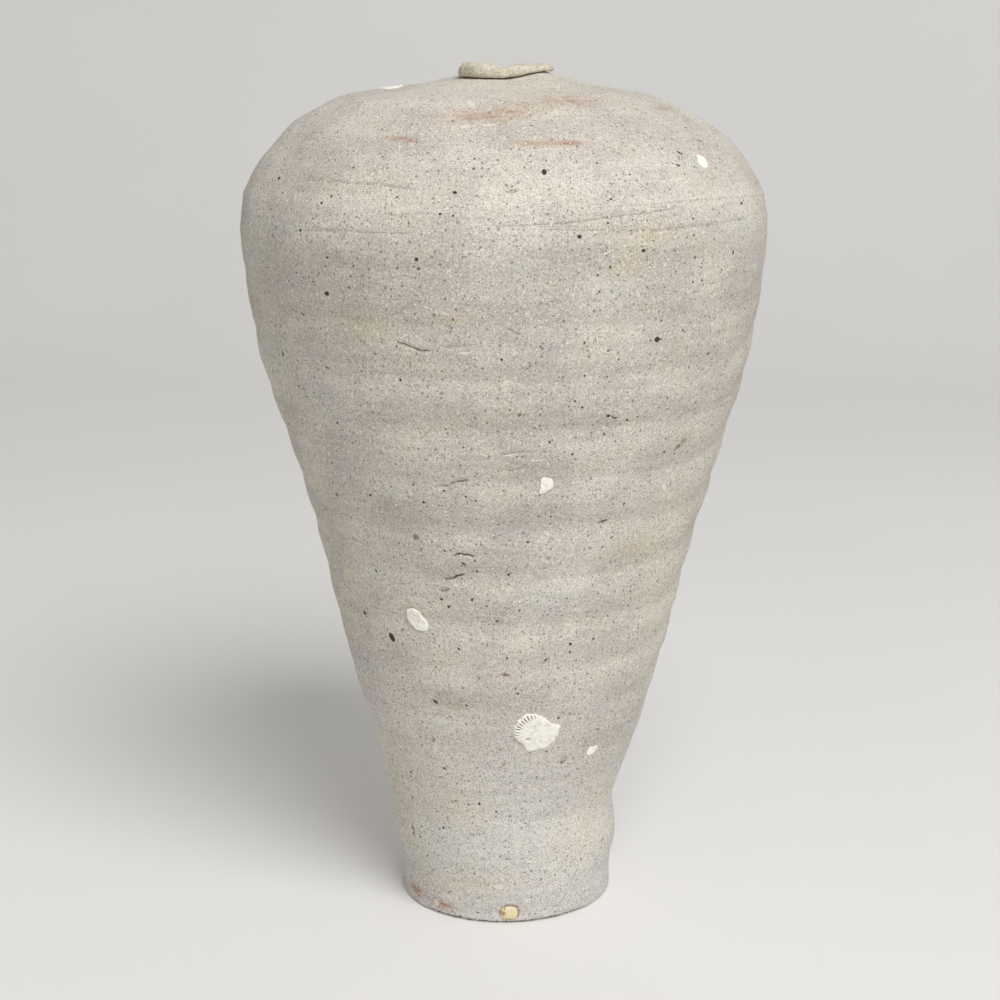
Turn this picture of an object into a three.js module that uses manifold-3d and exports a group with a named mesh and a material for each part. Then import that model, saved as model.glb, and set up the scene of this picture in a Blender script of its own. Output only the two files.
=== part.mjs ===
// A small-mouthed stoneware jar for storing mercury: a heavy, hand-thrown vessel with a narrow foot, a tall
// wall that widens to a broad shoulder, a low crown and a tiny mouth under a folded clay rim.
// It is built as a potter builds it, from clay sections luted edge to edge, plus what the sea left on it.
// Millimetres, +Z up, origin at the middle of the underside. -Y is the front and +X the viewer's right.
import * as THREE from "three";
import { mergeVertices } from "three/addons/utils/BufferGeometryUtils.js";
import Module from "manifold-3d";

const wasm = await Module();
wasm.setup();

// Heights of the clay sections, from the floor up.
const BASE_SLAB_HEIGHT = 13;
const FOOT_WALL_HEIGHT = 23;
const LOWER_WALL_HEIGHT = 89.2;
const UPPER_WALL_HEIGHT = 99.8;
const CROWN_RISE = 33;

// Outer radii of the wall, from the floor up, and where the foot's swell and the belly lie.
const FOOT_EDGE_RADIUS = 33.4;
const FOOT_NECK_RADIUS = 35;
const FOOT_SWELL_RADIUS = 36;
const WAIST_RADIUS = 37;
const LOWER_MIDDLE_RADIUS = 49.6;
const MIDDLE_SEAM_RADIUS = 60.7;
const UPPER_MIDDLE_RADIUS = 74.4;
const BELLY_RADIUS = 79.4;
const SHOULDER_RADIUS = 78.2;
const FOOT_SWELL_ABOVE_SLAB = 9.2;
const BELLY_BELOW_SHOULDER = 12;

// The clay's thickness, the passage through the neck, and the clearance between seated pieces.
const WALL = 10;
const CROWN_THICKNESS = 10;
const NECK_LENGTH = 13;
const NECK_RADIUS = 11;
const MOUTH_RADIUS = 7;
const SEAT_GAP = 0.3;
const FOOT_CHAMFER = 1.6;

// The rim, a clay strip folded out over the neck. At the front left it is a thick lobe; past the join at the
// front it is a thin strip, and there the crown's clay swells up to meet it. Angles are in radians.
const RIM_RADIUS = 14.2;
const RIM_WAVE = 0.4;
const RIM_WAVES = 3;
const RIM_HEIGHT = 4.5;
const RIM_THIN_HEIGHT = 4;
const RIM_LIP = 1.2;
const RIM_ROUNDING = 0.9;
const RIM_SLOPE = 1.9;
const RIM_LOBE_ANGLE = -2.3;
const RIM_LOBE_HALF = 0.7;
const RIM_LOBE_FADED = 1.35;
const RIM_JOIN_ANGLE = -1.6;
const RIM_JOIN_HALF = 0.3;
const RIM_JOIN_DEPTH = 1.1;

// How the making shows: finger ridges, the wall's oval, and the flats pressed round the crown.
const RIDGE_PITCH = 15.1;
const RIDGE_DEPTH = 0.6;
const RIDGE_MEAN = 0.68;
const RIDGE_SOFTNESS = 0.2;
const RIDGE_SPIRAL = 1;
const RIDGES_START = 71;
const RIDGES_END = 50;
const OUT_OF_ROUND = 0.5;
const CROWN_FLATS = 9;
const CROWN_FLAT_DEPTH = 0.9;

// Shares of the way in over the crown: where its flats are deepest, where they end, where its clay reaches
// full thickness, and where it swells up round the neck.
const FLATS_DEEPEST = 0.2;
const FLATS_END = 0.5;
const CROWN_FULL = 0.35;
const SWELL_START = 0.72;
const SWELL_FULL = 0.95;
const NECK_SWELL = 2.2;

// Faceting: how many sides a ring has, and how far apart the rings lie.
const SIDES = 48;
const RINGS_PER_RIDGE = 4;
const INNER_STEP = 13;
const CROWN_SHARE_STEP = 0.09;

const BASE_TOP = BASE_SLAB_HEIGHT;
const WAIST = BASE_TOP + FOOT_WALL_HEIGHT;
const MIDDLE_SEAM = WAIST + LOWER_WALL_HEIGHT;
const SHOULDER = MIDDLE_SEAM + UPPER_WALL_HEIGHT;
const CROWN_TOP = SHOULDER + CROWN_RISE;
const NECK_BOTTOM = CROWN_TOP - NECK_LENGTH;
const NECK_HOLE_RADIUS = NECK_RADIUS + SEAT_GAP;
const RING_STEP = RIDGE_PITCH / RINGS_PER_RIDGE;

const LEFT = Math.PI;
const RIGHT = 0;
const FRONT = -Math.PI / 2;

// The wall's outline, as height and radius.
const WALL_OUTLINE = [
  [0, FOOT_EDGE_RADIUS],
  [BASE_TOP, FOOT_NECK_RADIUS],
  [BASE_TOP + FOOT_SWELL_ABOVE_SLAB, FOOT_SWELL_RADIUS],
  [WAIST, WAIST_RADIUS],
  [(WAIST + MIDDLE_SEAM) / 2, LOWER_MIDDLE_RADIUS],
  [MIDDLE_SEAM, MIDDLE_SEAM_RADIUS],
  [(MIDDLE_SEAM + SHOULDER) / 2, UPPER_MIDDLE_RADIUS],
  [SHOULDER - BELLY_BELOW_SHOULDER, BELLY_RADIUS],
  [SHOULDER, SHOULDER_RADIUS],
];

// The crown's outline on the jar's left and right: share of the way in to the neck, and share of its rise.
const CROWN_LEFT = [
  [0, 0],
  [0.063, 0.25],
  [0.22, 0.64],
  [0.435, 0.84],
  [0.72, 0.93],
  [1, 1],
];
const CROWN_RIGHT = [
  [0, 0],
  [0.063, 0.225],
  [0.14, 0.43],
  [0.3, 0.66],
  [0.54, 0.86],
  [0.72, 0.92],
  [1, 1],
];

// Places where the wall was pressed in, or out where the depth is negative: the middle, reach and depth.
const PRESSED = [
  { angle: RIGHT, height: WAIST - 5, round: 0.9, up: 7, depth: 1.4 },
  { angle: RIGHT, height: BASE_TOP + 3.9, round: 0.8, up: 6, depth: -0.9 },
  { angle: LEFT, height: BASE_TOP - 0.6, round: 0.9, up: 8, depth: 1.8 },
  { angle: RIGHT, height: MIDDLE_SEAM - 31.3, round: 1.2, up: 42, depth: -0.4 },
  { angle: RIGHT, height: WAIST + 20, round: 0.9, up: 12, depth: -1.3 },
  { angle: LEFT, height: SHOULDER - 13, round: 1.2, up: 18, depth: -0.8 },
  { angle: LEFT, height: MIDDLE_SEAM + 8, round: 1.2, up: 34, depth: 1.3 },
  { angle: LEFT, height: WAIST + 4, round: 0.9, up: 10, depth: -0.5 },
  { angle: -0.5, height: WAIST + 16.2, round: 0.5, up: 14, depth: 0.8 },
  { angle: -1.9, height: MIDDLE_SEAM - 12.5, round: 0.35, up: 6, depth: 0.7 },
  { angle: 2.1, height: MIDDLE_SEAM + 25, round: 0.6, up: 16, depth: 0.9 },
  { angle: 0.9, height: MIDDLE_SEAM - 50, round: 0.5, up: 10, depth: 0.8 },
];

// What grew or was fired onto the clay, by its middle, half sizes, turn and number of scallops. A scar on the
// wall has a height; one on the crown lies a distance in from the shoulder's edge.
const BARNACLE_THICKNESS = 1.2;
const SHELL_THICKNESS = 0.9;
const CRUST_SIDES = 24;
const CRUST_EDGE_SHARE = 0.92;
const CRUST_MIDDLE_SHARE = 0.55;
const SCALLOP_DEPTH = 0.05;
const WALL_SCARS = [
  { name: "barnacle_base_large", angle: -1.361, height: WAIST + 31.3, wide: 7, high: 7, turn: 0.3, scallops: 17 },
  { name: "barnacle_base_left", angle: -2.06, height: MIDDLE_SEAM - 21.6, wide: 3.3, high: 3.8, turn: 0.4, scallops: 9 },
  { name: "shell_scar_middle", angle: -1.398, height: MIDDLE_SEAM + 22.5, wide: 2.5, high: 3.1, turn: -0.6, scallops: 3 },
  { name: "shell_scar_right", angle: -0.885, height: WAIST + 21.1, wide: 2.1, high: 1.8, turn: 0.6, scallops: 3 },
  { name: "shell_scar_upper_left", angle: -2.537, height: MIDDLE_SEAM + 31.3, wide: 2.3, high: 2.1, turn: 0.2, scallops: 4 },
];
const CROWN_SCARS = [
  { name: "lime_scar_crown_right", angle: -0.68, inset: 6.9, wide: 2.3, high: 1.5, turn: -0.35, scallops: 5 },
  { name: "lime_scar_crown_left", angle: -3.02, inset: 44.2, wide: 4, high: 4.2, turn: 0.1, scallops: 5 },
];
const PEBBLE_ANGLE = -1.53;
const PEBBLE_HEIGHT = 3.6;
const PEBBLE_RADIUS = 2.8;
const PEBBLE_FLATNESS = 0.8;
const PEBBLE_SUNK = 1.6;
const PEBBLE_SIDES = 14;

// Straight-line reading of a table of [x, y] rows.
function polyline(table, x) {
  let i = 0;
  while (i < table.length - 2 && x > table[i + 1][0]) i += 1;
  const [x0, y0] = table[i];
  const [x1, y1] = table[i + 1];
  return y0 + ((y1 - y0) * (x - x0)) / (x1 - x0);
}

// Smooth reading of a table of [x, y] rows: a cubic through the rows, sloped as their neighbours lie.
function smoothLine(table, x) {
  const last = table.length - 1;
  const slope = (i) => {
    const [x0, y0] = table[Math.max(i - 1, 0)];
    const [x1, y1] = table[Math.min(i + 1, last)];
    return (y1 - y0) / (x1 - x0);
  };
  let i = 0;
  while (i < last - 1 && x > table[i + 1][0]) i += 1;
  const [x0, y0] = table[i];
  const [x1, y1] = table[i + 1];
  const step = x1 - x0;
  const t = (x - x0) / step;
  const blend = t * t * (3 - 2 * t);
  return y0 + (y1 - y0) * blend + step * t * (1 - t) * ((1 - t) * slope(i) - t * slope(i + 1));
}

// A hump of height 1 that falls away smoothly to each side.
const hump = (x) => Math.exp(-x * x);

// The shorter way round from one angle to another.
const turnBetween = (a, b) => Math.atan2(Math.sin(a - b), Math.cos(a - b));

// Finger ridges: rounded bands with narrower valleys, strongest in the middle of the wall.
function ridges(angle, z) {
  const phase = (z - MIDDLE_SEAM + RIDGE_SPIRAL * Math.sin(angle + z / RIDGE_PITCH)) / RIDGE_PITCH;
  const band = Math.hypot(Math.sin(Math.PI * phase), RIDGE_SOFTNESS) - RIDGE_MEAN;
  const fadeIn = THREE.MathUtils.smoothstep(z, WAIST, WAIST + RIDGES_START);
  const fadeOut = 1 - THREE.MathUtils.smoothstep(z, SHOULDER - RIDGES_END, SHOULDER);
  return RIDGE_DEPTH * band * fadeIn * fadeOut;
}

// The wall's outside, with its ridges, its oval and the places where it was pressed.
function wallRadius(angle, z) {
  let radius = smoothLine(WALL_OUTLINE, z) + ridges(angle, z) + OUT_OF_ROUND * Math.sin(2 * angle);
  for (const p of PRESSED) {
    radius -= p.depth * hump(turnBetween(angle, p.angle) / p.round) * hump((z - p.height) / p.up);
  }
  return radius;
}

const hollowRadius = (z) => smoothLine(WALL_OUTLINE, z) - WALL;

const onRing = (radius, angle, z) => new THREE.Vector3(radius * Math.cos(angle), radius * Math.sin(angle), z);
const wallPoint = (angle, z) => onRing(wallRadius(angle, z), angle, z);

// How much of the rim's thick lobe an angle has: 1 within it, 0 where it has thinned to the plain strip.
function lobeShare(angle) {
  const away = Math.abs(turnBetween(angle, RIM_LOBE_ANGLE));
  return 1 - THREE.MathUtils.smoothstep(away, RIM_LOBE_HALF, RIM_LOBE_FADED);
}

// How much of the crown's right-hand outline an angle takes, the rest being the left-hand one.
const rightShare = (angle) => (1 + Math.cos(angle)) / 2;

const crownShare = (angle, radius) => {
  const edge = wallRadius(angle, SHOULDER);
  return Math.min((edge - radius) / (edge - NECK_HOLE_RADIUS), 1);
};

// The crown's outside, at a share of the way in from the shoulder's edge to the neck.
function crownPoint(angle, share) {
  const edge = wallRadius(angle, SHOULDER);
  const right = rightShare(angle);
  const rise = (1 - right) * polyline(CROWN_LEFT, share) + right * polyline(CROWN_RIGHT, share);
  const { smoothstep } = THREE.MathUtils;
  const pressed = smoothstep(share, 0, FLATS_DEEPEST) - smoothstep(share, FLATS_DEEPEST, FLATS_END);
  const flats = CROWN_FLAT_DEPTH * Math.abs(Math.sin((CROWN_FLATS * angle) / 2)) * pressed;
  const swell = NECK_SWELL * smoothstep(share, SWELL_START, SWELL_FULL) * (1 - lobeShare(angle));
  return onRing(edge + (NECK_HOLE_RADIUS - edge) * share, angle, SHOULDER + CROWN_RISE * rise - flats + swell);
}

// The crown's inside, which closes the hollow a clay's thickness below the outside.
function crownInside(angle, share) {
  const edge = hollowRadius(SHOULDER);
  const rise = (polyline(CROWN_LEFT, share) + polyline(CROWN_RIGHT, share)) / 2;
  const under = CROWN_THICKNESS * THREE.MathUtils.smoothstep(share, 0, CROWN_FULL);
  const radius = edge + (NECK_HOLE_RADIUS - edge) * share;
  return onRing(radius, angle, SHOULDER + Math.max(0, CROWN_RISE * rise - under));
}

const ring = (pointAt) => Array.from({ length: SIDES }, (_, k) => pointAt(FRONT + (2 * Math.PI * k) / SIDES));

function bufferGeometry(positions, index) {
  const geometry = new THREE.BufferGeometry();
  geometry.setAttribute("position", new THREE.Float32BufferAttribute(positions, 3));
  geometry.setIndex(index);
  return geometry;
}

// The band of triangles between two rings of a loft.
function band(index, from, to, sides) {
  for (let k = 0; k < sides; k += 1) {
    const next = (k + 1) % sides;
    index.push(from + k, from + next, to + next, from + k, to + next, to + k);
  }
}

// A hollow body lofted through rings, outside then inside, the last joined to the first.
function hollowLoft(rings) {
  const sides = rings[0].length;
  const index = [];
  rings.forEach((_, i) => band(index, i * sides, ((i + 1) % rings.length) * sides, sides));
  return bufferGeometry(rings.flat().flatMap((p) => [p.x, p.y, p.z]), index);
}

// A solid body lofted through rings, closed by a middle point below the first and above the last.
function solidLoft(rings, bottom, top) {
  const sides = rings[0].length;
  const index = [];
  for (let i = 0; i < rings.length - 1; i += 1) band(index, i * sides, (i + 1) * sides, sides);
  const low = rings.length * sides;
  const last = low - sides;
  for (let k = 0; k < sides; k += 1) {
    const next = (k + 1) % sides;
    index.push(low, next, k, low + 1, last + k, last + next);
  }
  return bufferGeometry([...rings.flat(), bottom, top].flatMap((p) => [p.x, p.y, p.z]), index);
}

function evenSteps(from, to, step) {
  const count = Math.max(1, Math.round(Math.abs(to - from) / step));
  return Array.from({ length: count + 1 }, (_, i) => from + ((to - from) * i) / count);
}

// The heights of a section's outer rings: its two seams, and every part of a ridge that lies between them
// without crowding a seam.
function ridgeLevels(bottom, top) {
  const crowding = RING_STEP / 3;
  const first = Math.ceil((bottom + crowding - MIDDLE_SEAM) / RING_STEP);
  const last = Math.floor((top - crowding - MIDDLE_SEAM) / RING_STEP);
  const levels = [bottom];
  for (let i = first; i <= last; i += 1) levels.push(MIDDLE_SEAM + i * RING_STEP);
  return [...levels, top];
}

// One section of the wall between two level seams.
function wallSection(bottom, top) {
  const outside = ridgeLevels(bottom, top).map((z) => ring((a) => wallPoint(a, z)));
  const inside = evenSteps(top, bottom, INNER_STEP).map((z) => ring((a) => onRing(hollowRadius(z), a, z)));
  return hollowLoft([...outside, ...inside]);
}

// The crown: the low dome that closes the jar, with a round hole for the neck.
function crown() {
  const corners = [...new Set([...CROWN_LEFT, ...CROWN_RIGHT].map(([share]) => share))].sort((a, b) => a - b);
  const shares = corners.slice(1).flatMap((to, i) => evenSteps(corners[i], to, CROWN_SHARE_STEP).slice(1));
  const outside = [0, ...shares].map((share) => ring((a) => crownPoint(a, share)));
  const inside = [...corners].reverse().map((share) => ring((a) => crownInside(a, share)));
  return hollowLoft([...outside, ...inside]);
}

// The neck: a short clay tube that lines the crown's hole and carries the rim on its level top.
function neck() {
  const profile = [
    [NECK_RADIUS, NECK_BOTTOM],
    [NECK_RADIUS, CROWN_TOP],
    [MOUTH_RADIUS, CROWN_TOP],
    [MOUTH_RADIUS, NECK_BOTTOM],
  ];
  return hollowLoft(profile.map(([radius, z]) => ring((a) => onRing(radius, a, z))));
}

// The rim: seated on the neck, it turns out over the crown and hangs as a hem; its ends overlap in a dip.
function rim() {
  const out = (a) => RIM_RADIUS + RIM_WAVE * Math.sin(RIM_WAVES * a + 1);
  const dip = (a) => RIM_JOIN_DEPTH * hump(turnBetween(a, RIM_JOIN_ANGLE) / RIM_JOIN_HALF);
  const height = (a) => RIM_THIN_HEIGHT + (RIM_HEIGHT - RIM_THIN_HEIGHT) * lobeShare(a);
  const crest = (a) => CROWN_TOP + height(a) - dip(a);
  const clayUnder = (a, radius) => crownPoint(a, crownShare(a, radius)).z + SEAT_GAP;
  const hem = (a) => clayUnder(a, out(a));
  const upperEdge = (a) => (hem(a) + 3 * crest(a)) / 4;
  const lip = NECK_HOLE_RADIUS + RIM_LIP;
  return hollowLoft([
    ring((a) => onRing(NECK_RADIUS - SEAT_GAP, a, CROWN_TOP)),
    ring((a) => onRing(NECK_RADIUS - SEAT_GAP / 2, a, clayUnder(a, NECK_HOLE_RADIUS))),
    ring((a) => onRing(lip, a, Math.max(CROWN_TOP, clayUnder(a, lip)) + SEAT_GAP)),
    ring((a) => onRing(out(a) - RIM_ROUNDING, a, hem(a))),
    ring((a) => onRing(out(a), a, hem(a) + RIM_ROUNDING)),
    ring((a) => onRing(out(a) - RIM_ROUNDING, a, upperEdge(a))),
    ring((a) => onRing(out(a) - RIM_SLOPE - RIM_ROUNDING, a, crest(a))),
    ring((a) => onRing(MOUTH_RADIUS + RIM_ROUNDING, a, crest(a) - dip(a))),
    ring((a) => onRing(MOUTH_RADIUS, a, crest(a) - dip(a) - RIM_ROUNDING)),
    ring((a) => onRing(MOUTH_RADIUS, a, CROWN_TOP)),
  ]);
}

// A point lifted off a surface along its normal; the surface takes distances across and up.
function lifted(surface, across, up, lift) {
  const step = SEAT_GAP;
  const p = surface(across, up);
  const toRight = surface(across + step, up).sub(p);
  const upwards = surface(across, up + step).sub(p);
  return p.addScaledVector(toRight.cross(upwards).normalize(), lift);
}

const wallNear = (scar) => (across, up) =>
  wallPoint(scar.angle + across / smoothLine(WALL_OUTLINE, scar.height), scar.height + up);

const crownNear = (scar) => (across, up) => {
  const radius = SHOULDER_RADIUS - scar.inset;
  const angle = scar.angle + across / radius;
  return crownPoint(angle, crownShare(angle, radius - up));
};

// A thin crust that follows the clay under it: flat below, raised above, with a scalloped edge.
function crust(surface, scar, thickness) {
  const at = (share, k, lift) => {
    const a = (2 * Math.PI * k) / CRUST_SIDES;
    const scallop = 1 + SCALLOP_DEPTH * (Math.sin(scar.scallops * a) + Math.sin(2 * a + scar.turn));
    const x = share * scallop * scar.wide * Math.cos(a);
    const y = share * scallop * scar.high * Math.sin(a);
    const [c, s] = [Math.cos(scar.turn), Math.sin(scar.turn)];
    return lifted(surface, x * c - y * s, x * s + y * c, lift);
  };
  const row = (share, lift) => Array.from({ length: CRUST_SIDES }, (_, k) => at(share, k, lift));
  const rings = [
    row(CRUST_MIDDLE_SHARE, SEAT_GAP),
    row(1, SEAT_GAP),
    row(CRUST_EDGE_SHARE, thickness),
    row(CRUST_MIDDLE_SHARE, thickness),
  ];
  return solidLoft(rings, lifted(surface, 0, 0, SEAT_GAP), lifted(surface, 0, 0, thickness));
}

// A pebble fired into the foot's edge; grown by an allowance it is also the pocket that holds it.
function pebble(allowance) {
  const stone = new THREE.SphereGeometry(PEBBLE_RADIUS, PEBBLE_SIDES, PEBBLE_SIDES - 4);
  const grow = 1 + allowance / (PEBBLE_RADIUS * PEBBLE_FLATNESS);
  const middle = wallRadius(PEBBLE_ANGLE, PEBBLE_HEIGHT) - PEBBLE_SUNK;
  stone.scale(grow, grow * PEBBLE_FLATNESS, grow * PEBBLE_FLATNESS);
  stone.rotateZ(PEBBLE_ANGLE - FRONT);
  stone.translate(middle * Math.cos(PEBBLE_ANGLE), middle * Math.sin(PEBBLE_ANGLE), PEBBLE_HEIGHT);
  return stone;
}

function manifoldOf(geometry) {
  const bare = geometry.clone();
  bare.deleteAttribute("normal");
  bare.deleteAttribute("uv");
  const merged = mergeVertices(bare, 1e-4);
  return new wasm.Manifold(
    new wasm.Mesh({
      numProp: 3,
      vertProperties: merged.attributes.position.array,
      triVerts: new Uint32Array(merged.index.array),
    }),
  );
}

// The slab the jar stands on: a thick disc with a worn lower edge and the pebble's pocket.
function baseSlab() {
  const worn = ring((a) => onRing(wallRadius(a, 0) - FOOT_CHAMFER, a, 0));
  const rise = evenSteps(FOOT_CHAMFER, BASE_TOP, RING_STEP).map((z) => ring((a) => wallPoint(a, z)));
  const slab = solidLoft([worn, ...rise], new THREE.Vector3(0, 0, 0), new THREE.Vector3(0, 0, BASE_TOP));
  const cut = manifoldOf(slab).subtract(manifoldOf(pebble(SEAT_GAP))).getMesh();
  return bufferGeometry(Array.from(cut.vertProperties), Array.from(cut.triVerts));
}

const matte = (colour, roughness) => new THREE.MeshStandardMaterial({ color: colour, roughness, metalness: 0 });
const STONEWARE = matte(0xb7aea1, 0.92);
const RIM_CLAY = matte(0xc2bba6, 0.9);
const LIME = matte(0xebe6d8, 0.85);
const PEBBLE = matte(0xdcc79a, 0.8);

const jar = new THREE.Group();

function addPiece(name, geometry, material) {
  const mesh = new THREE.Mesh(geometry, material);
  mesh.name = name;
  jar.add(mesh);
}

addPiece("base_slab", baseSlab(), STONEWARE);
addPiece("foot_wall", wallSection(BASE_TOP, WAIST), STONEWARE);
addPiece("lower_wall", wallSection(WAIST, MIDDLE_SEAM), STONEWARE);
addPiece("upper_wall", wallSection(MIDDLE_SEAM, SHOULDER), STONEWARE);
addPiece("shoulder_crown", crown(), STONEWARE);
addPiece("neck_tube", neck(), STONEWARE);
addPiece("mouth_rim", rim(), RIM_CLAY);
for (const scar of WALL_SCARS) {
  const thickness = scar.name.startsWith("barnacle") ? BARNACLE_THICKNESS : SHELL_THICKNESS;
  addPiece(scar.name, crust(wallNear(scar), scar, thickness), LIME);
}
for (const scar of CROWN_SCARS) addPiece(scar.name, crust(crownNear(scar), scar, SHELL_THICKNESS), LIME);
addPiece("foot_pebble", pebble(0), PEBBLE);

export default jar;
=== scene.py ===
"""Looks of a small-mouthed stoneware jar: fine clay surfaces, a folded rim, sea crusts, colours and light.

Shapes are worked out in millimetres on the same outlines as the solids, and turned to metres when a mesh is
made. Angles go round the jar from +X, so that -90 degrees is the front. A place on the clay is an angle and
a path: up the wall the path is the height, and past the shoulder it goes on over the crown to the neck.
"""

import itertools
import math

import bpy
import numpy as np
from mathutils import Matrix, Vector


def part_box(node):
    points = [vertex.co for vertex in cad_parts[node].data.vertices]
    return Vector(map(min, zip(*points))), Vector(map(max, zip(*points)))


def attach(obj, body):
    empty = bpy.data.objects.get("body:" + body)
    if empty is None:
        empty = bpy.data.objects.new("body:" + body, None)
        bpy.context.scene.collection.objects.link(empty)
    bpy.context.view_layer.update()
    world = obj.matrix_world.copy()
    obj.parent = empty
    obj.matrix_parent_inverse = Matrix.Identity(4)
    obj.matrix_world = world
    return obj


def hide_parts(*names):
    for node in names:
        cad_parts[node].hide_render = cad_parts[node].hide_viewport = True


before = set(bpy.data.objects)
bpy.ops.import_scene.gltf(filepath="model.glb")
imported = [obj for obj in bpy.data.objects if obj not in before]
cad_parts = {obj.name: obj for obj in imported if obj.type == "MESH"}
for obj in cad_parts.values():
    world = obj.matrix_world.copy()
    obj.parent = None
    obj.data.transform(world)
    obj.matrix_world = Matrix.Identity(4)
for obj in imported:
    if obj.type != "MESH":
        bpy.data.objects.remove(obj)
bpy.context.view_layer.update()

MM = 0.001


def top_of(node):
    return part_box(node)[1].z / MM


BASE_TOP = top_of("base_slab")
WAIST = top_of("foot_wall")
MIDDLE_SEAM = top_of("lower_wall")
SHOULDER = top_of("upper_wall")
CROWN_TOP = top_of("neck_tube")
NECK_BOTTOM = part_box("neck_tube")[0].z / MM
CROWN_RISE = CROWN_TOP - SHOULDER

WALL = 10
CROWN_THICKNESS = 10
NECK_RADIUS = 11
MOUTH_RADIUS = 7
SEAT_GAP = 0.3
NECK_HOLE_RADIUS = NECK_RADIUS + SEAT_GAP
FOOT_ROUNDING = 0.5
FOOT_UNEVENNESS = 0.25
FOOT_BUMP_SIZE = 6

# The wall's outline, as height and radius.
WALL_OUTLINE = (
    (0, 33.4),
    (BASE_TOP, 35),
    (BASE_TOP + 9.2, 36),
    (WAIST, 37),
    ((WAIST + MIDDLE_SEAM) / 2, 49.6),
    (MIDDLE_SEAM, 60.7),
    ((MIDDLE_SEAM + SHOULDER) / 2, 74.4),
    (SHOULDER - 12, 79.4),
    (SHOULDER, 78.2),
)

# The crown's outline at the left and at the right: share of the way in to the neck, and share of its rise.
CROWN_LEFT = ((0, 0), (0.063, 0.25), (0.22, 0.64), (0.435, 0.84), (0.72, 0.93), (1, 1))
CROWN_RIGHT = ((0, 0), (0.063, 0.225), (0.14, 0.43), (0.3, 0.66), (0.54, 0.86), (0.72, 0.92), (1, 1))
CROWN_SOFTNESS = 0.03
CROWN_FLATS = 9
CROWN_FLAT_DEPTH = 0.9
CROWN_FLAT_DEEPEST = 0.2
CROWN_FLAT_END = 0.5
SWELL_START = 0.72
SWELL_FULL = 0.95
NECK_SWELL = 1.7
CROWN_SPAN = 79
PATH_END = SHOULDER + CROWN_SPAN

RIDGE_PITCH = 15.1
RIDGE_DEPTH = 0.6
RIDGE_FRONT_DEPTH = 1.1
RIDGE_FRONT_DROP = 6.3
RIDGE_MEAN = 0.68
RIDGE_SOFTNESS = 0.2
RIDGE_FADE_IN = 71
RIDGE_FADE_OUT = 50
OUT_OF_ROUND = 0.5

# Places pressed in, or out where the depth is negative: angle in radians, height, reach round and up, depth.
PRESSED = (
    (0, WAIST - 5, 0.9, 7, 1.4),
    (0, BASE_TOP + 3.9, 0.8, 6, -0.9),
    (math.pi, BASE_TOP - 0.6, 0.9, 8, 1.8),
    (-0.5, 0, 0.9, 7, -1.1),
    (0, MIDDLE_SEAM - 31.3, 1.2, 42, -0.4),
    (0, WAIST + 20, 0.9, 12, -1.3),
    (math.pi, SHOULDER - 13, 1.2, 18, -0.8),
    (math.pi, MIDDLE_SEAM + 8, 1.2, 34, 1.3),
    (math.pi, WAIST + 4, 0.9, 10, -0.5),
    (-0.5, WAIST + 16.2, 0.5, 14, 0.8),
    (-1.9, MIDDLE_SEAM - 12.5, 0.35, 6, 0.7),
    (2.1, MIDDLE_SEAM + 25, 0.6, 16, 0.9),
    (0.9, MIDDLE_SEAM - 50, 0.5, 10, 0.8),
)

# The rim's thick lobe lies at the front left; past the join its strip is thin.
RIM_RADIUS = 14.2
RIM_HEIGHT = 4.5
RIM_THIN_HEIGHT = 4
RIM_LOBE_ANGLE = -2.3
RIM_LOBE_HALF = 0.7
RIM_LOBE_FADED = 1.7
RIM_JOIN_ANGLE = -1.6
RIM_JOIN_HALF = 0.3
RIM_JOIN_DEPTH = 1.1
RIM_BACK_DROP = 1.2
RIM_LIP = 1.2
RIM_SMOOTHINGS = 3
RIM_RELIEF = ((0.16, 2.6), (0.07, 1.1))
RIM_SINK = 0.12

# The clay's unevenness, in layers: height, and size in each direction.
RELIEF = (
    (0.45, (28, 28, 24)),
    (0.22, (11, 11, 9)),
    (0.1, (4.5, 4.5, 3.6)),
    (0.05, (2.2, 2.2, 1.8)),
    (0.07, (14, 14, 1.6)),
)
RELIEF_SINK = 0.3
RELIEF_AT_FOOT = 0.2
RELIEF_FOOT_RISE = 4
RELIEF_NECK_FALL = 6

COLUMNS = 480
ROW_STEP = 0.9
FINE_STEP = 0.5
ROW_SAMPLES = 2000
ZONE_EASE = 3
FINE_ZONES = ((0, 8), (109, 128), (146, 159), (184, 202), (216, 246))

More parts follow.
